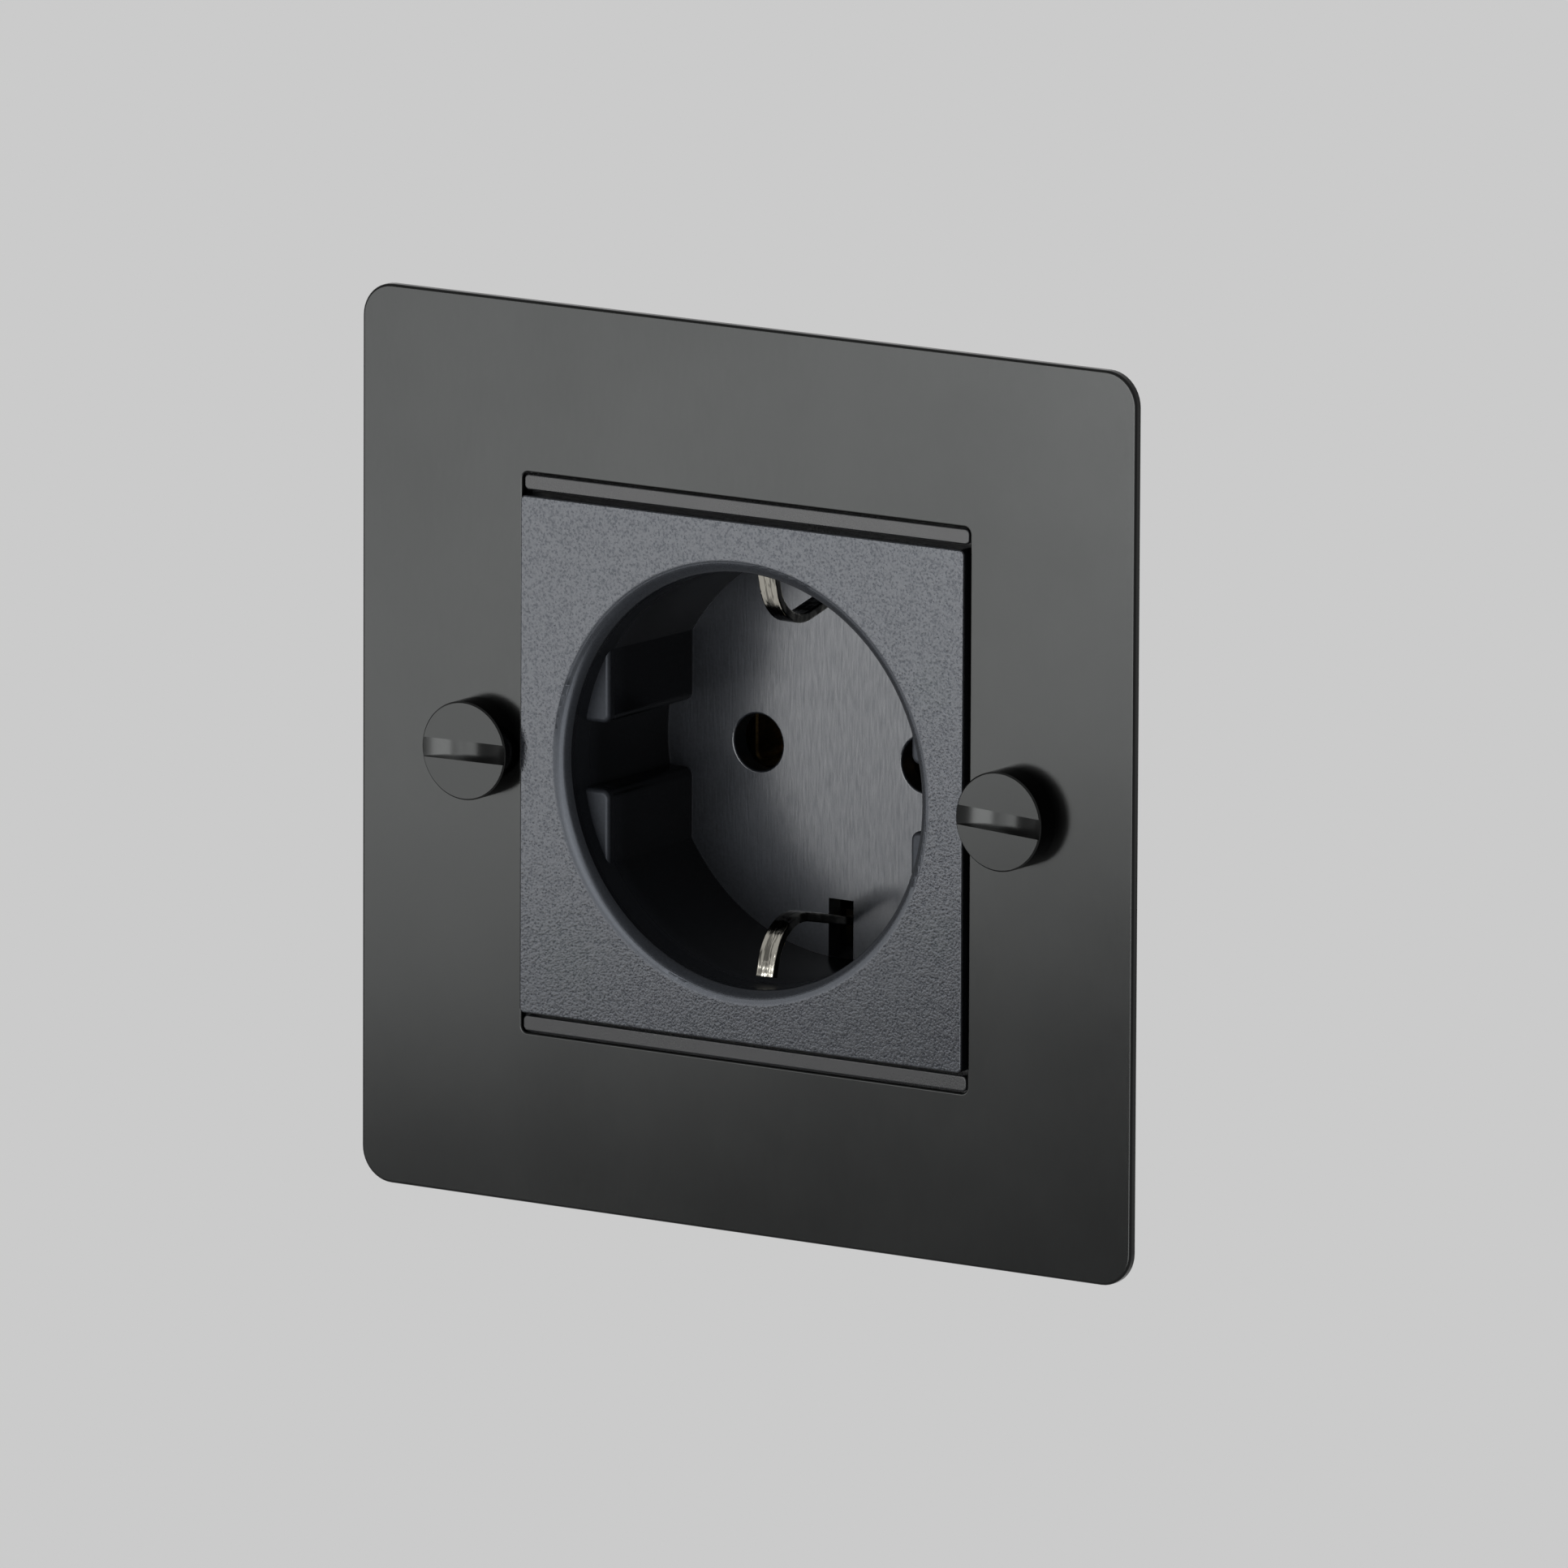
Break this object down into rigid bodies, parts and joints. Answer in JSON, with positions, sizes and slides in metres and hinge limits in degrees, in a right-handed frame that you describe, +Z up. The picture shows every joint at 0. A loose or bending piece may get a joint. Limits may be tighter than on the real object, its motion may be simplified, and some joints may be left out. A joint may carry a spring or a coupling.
{
  "type": "wall socket",
  "caption": "Earthed wall socket for plugs with round pins: a square module with a deep round recess and sprung earth clips, snapped into a flat metal plate that screws to a wall box.",
  "frame": {"origin": "middle of the plate, on the wall's surface, which is the rear face of the seal", "axes": "seen from the room, +X points right and +Z up; +Y points into the wall, so the socket faces along -Y"},
  "size_m": [0.087, 0.0407, 0.087],
  "materials": {
    "plate_finish": "satin black nickel",
    "screw_finish": "satin black nickel",
    "seal_foam": "closed-cell foam",
    "carrier_plastic": "moulded matte",
    "face_plastic": "fine spark-eroded grain",
    "base_plastic": "moulded matte",
    "earth_nickel": "bright nickel plate",
    "contact_brass": "rolled",
    "terminal_brass": "machined",
    "zinc_steel": "zinc plate"
  },
  "bodies": {
    "root": {"front_plate": "plate_finish", "wall_gasket": "seal_foam", "plate_screws": "screw_finish", "carrier_frame": "carrier_plastic", "socket_face": "face_plastic", "rear_base": "base_plastic", "earth_strap": "earth_nickel", "live_contact": "contact_brass", "neutral_contact": "contact_brass", "live_terminal": "terminal_brass", "neutral_terminal": "terminal_brass", "earth_terminal": "terminal_brass", "pressure_plates": "zinc_steel", "terminal_screws": "zinc_steel", "housing_screws": "zinc_steel"}
  },
  "joints": []
}
